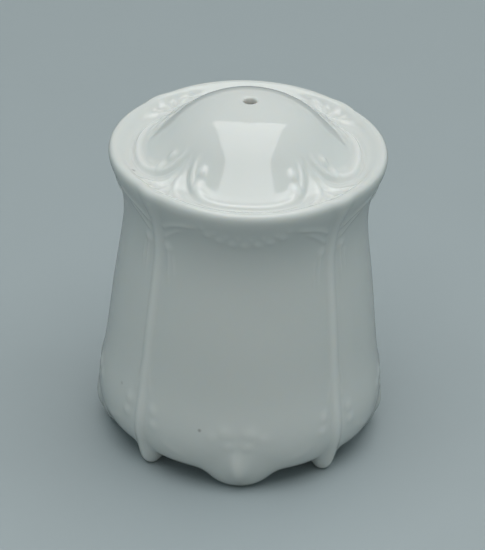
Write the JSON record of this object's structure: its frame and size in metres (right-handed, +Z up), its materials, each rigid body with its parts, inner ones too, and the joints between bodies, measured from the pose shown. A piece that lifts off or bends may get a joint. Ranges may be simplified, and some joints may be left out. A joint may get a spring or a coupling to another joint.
{
  "type": "salt shaker",
  "caption": "Glazed porcelain salt shaker with bowed panels, ribs, a lobed lip and a domed top with one pouring hole, closed below by a pull-out plug.",
  "frame": {"origin": "on the table under the shaker's axis, in the plane of the eight foot pads", "axes": "+Z up along the shaker's axis; -Y is the panel that faces the front; the ribs stand on the diagonals between X and Y"},
  "size_m": [0.0574, 0.0574, 0.0748],
  "materials": {
    "porcelain": "clear gloss glaze over white porcelain",
    "plug_plastic": "soft translucent moulded plastic"
  },
  "bodies": {
    "shaker": {"shaker_body": "porcelain"},
    "stopper": {"base_stopper": "plug_plastic"}
  },
  "joints": [
    {"name": "stopper_pull", "type": "slide", "parent": "shaker", "child": "stopper", "axis": [0, 0, -1], "range_m": [0, 0.02]}
  ]
}
